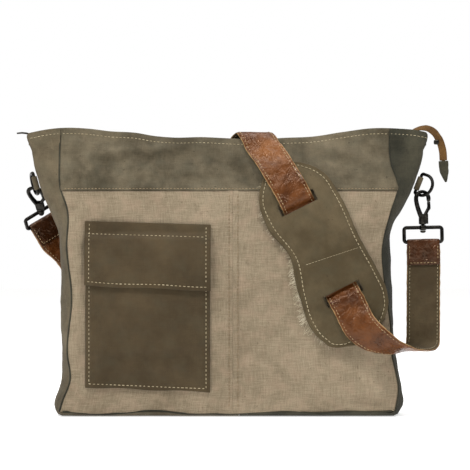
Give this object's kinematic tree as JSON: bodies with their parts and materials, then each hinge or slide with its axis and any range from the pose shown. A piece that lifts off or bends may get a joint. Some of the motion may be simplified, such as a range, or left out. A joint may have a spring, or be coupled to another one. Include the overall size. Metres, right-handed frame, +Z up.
{
  "type": "messenger bag",
  "caption": "Canvas and linen messenger bag with a front flap pocket, a recessed top zip, and a leather-faced strap with a sliding shoulder pad and swivel snap hooks.",
  "frame": {"origin": "centre of the flat base, on the surface the bag stands on", "axes": "+X along the bag's length, to the right seen from the front; -Y out of the front; +Z up"},
  "size_m": [0.5129, 0.1789, 0.3425],
  "materials": {
    "olive_canvas": "olive-brown washed canvas, matt",
    "grey_canvas": "grey-green washed canvas, matt",
    "pocket_canvas": "brown washed canvas, matt",
    "linen": "pale coarse linen, matt",
    "lining_cotton": "plain cotton, matt",
    "leather": "waxed red-brown leather, semi-gloss",
    "filling": "cotton wadding, hidden",
    "gunmetal": "near-black plated steel, satin",
    "brass": "aged brass, satin",
    "zip_tape": "golden-brown woven tape"
  },
  "bodies": {
    "bag": {"back_band": "olive_canvas", "back_panel": "olive_canvas", "front_band": "olive_canvas", "front_panel_left": "linen", "front_panel_right": "linen", "gusset_left": "olive_canvas", "gusset_right": "grey_canvas", "inner_pocket": "lining_cotton", "left_ring_tab": "olive_canvas", "left_strap_loop": "gunmetal", "lining": "lining_cotton", "pocket_body": "pocket_canvas", "pocket_flap_hem": "pocket_canvas", "right_ring_tab": "olive_canvas", "right_strap_loop": "gunmetal", "strap_canvas_left": "olive_canvas", "strap_canvas_pad_run": "olive_canvas", "strap_canvas_right": "olive_canvas", "strap_leather_left": "leather", "strap_leather_pad_run": "leather", "strap_leather_right": "leather", "strap_wrap_left": "leather", "strap_wrap_right": "leather", "zip_end_left": "zip_tape", "zip_end_right": "zip_tape", "zip_tail": "zip_tape", "zip_tail_cap": "olive_canvas"},
    "pocket_flap": {"pocket_flap": "pocket_canvas"},
    "shoulder_pad": {"pad_back": "olive_canvas", "pad_filling": "filling", "pad_front": "olive_canvas"},
    "zip_slider": {"zip_slider": "brass"},
    "zip_pull": {"zip_pull": "gunmetal"},
    "zip_half_front": {"zip_tape_front": "zip_tape", "zip_teeth_front": "brass"},
    "zip_half_back": {"zip_tape_back": "zip_tape", "zip_teeth_back": "brass"},
    "right_d_ring": {"right_d_ring": "gunmetal"},
    "right_hook": {"right_hook_body": "gunmetal", "right_gate_pin": "gunmetal", "right_gate_spring": "gunmetal"},
    "right_gate": {"right_hook_gate": "gunmetal"},
    "left_d_ring": {"left_d_ring": "gunmetal"},
    "left_hook": {"left_hook_body": "gunmetal", "left_gate_pin": "gunmetal", "left_gate_spring": "gunmetal"},
    "left_gate": {"left_hook_gate": "gunmetal"}
  },
  "joints": [
    {"name": "pocket_flap_lift", "type": "hinge", "parent": "bag", "child": "pocket_flap", "pos_m": [-0.0935, -0.0478, 0.2165], "axis": [-1, 0, 0], "range_deg": [0, 140]},
    {"name": "shoulder_pad_slide", "type": "slide", "parent": "bag", "child": "shoulder_pad", "axis": [0.4455, -0.045, -0.8941], "range_m": [0, 0.01], "deforming": ["strap_leather_pad_run", "strap_canvas_pad_run"]},
    {"name": "zip_slide", "type": "slide", "parent": "bag", "child": "zip_slider", "axis": [1, 0, 0], "range_m": [0, 0.4125]},
    {"name": "zip_pull_turn", "type": "hinge", "parent": "zip_slider", "child": "zip_pull", "pos_m": [-0.219, 0, 0.3252], "axis": [0, 1, 0], "range_deg": [0, 95]},
    {"name": "zip_front_open", "type": "hinge", "parent": "bag", "child": "zip_half_front", "pos_m": [0, -0.0052, 0.321], "axis": [-1, 0, 0], "range_deg": [0, 85]},
    {"name": "zip_back_open", "type": "hinge", "parent": "bag", "child": "zip_half_back", "pos_m": [0, 0.0052, 0.321], "axis": [1, 0, 0], "range_deg": [0, 85]},
    {"name": "right_ring_swing", "type": "hinge", "parent": "bag", "child": "right_d_ring", "pos_m": [0.225, 0, 0.2729], "axis": [0.3703, 0, 0.9289], "range_deg": [-2, 2]},
    {"name": "right_hook_swivel", "type": "hinge", "parent": "bag", "child": "right_hook", "pos_m": [0.2295, -0.0075, 0.2238], "axis": [-0.02, 0.01, 0.9997], "range_deg": [-10, 15]},
    {"name": "right_gate_open", "type": "hinge", "parent": "right_hook", "child": "right_gate", "pos_m": [0.2321, -0.0062, 0.2338], "axis": [0.3959, -0.9181, 0.0171], "range_deg": [0, 28], "stiffness_Nm_per_rad": 0.01, "springref_deg": -11.46, "deforming": ["right_gate_spring"]},
    {"name": "left_ring_swing", "type": "hinge", "parent": "bag", "child": "left_d_ring", "pos_m": [-0.2278, 0, 0.2734], "axis": [-0.2668, 0, 0.9637], "range_deg": [-2, 2]},
    {"name": "left_hook_swivel", "type": "hinge", "parent": "bag", "child": "left_hook", "pos_m": [-0.2263, 0.0434, 0.2427], "axis": [-0.1199, -0.7594, 0.6395], "range_deg": [-10, 15]},
    {"name": "left_gate_open", "type": "hinge", "parent": "left_hook", "child": "left_gate", "pos_m": [-0.2246, 0.0352, 0.249], "axis": [-0.1485, -0.6232, -0.7679], "range_deg": [0, 28], "stiffness_Nm_per_rad": 0.01, "springref_deg": -11.46, "deforming": ["left_gate_spring"]}
  ]
}
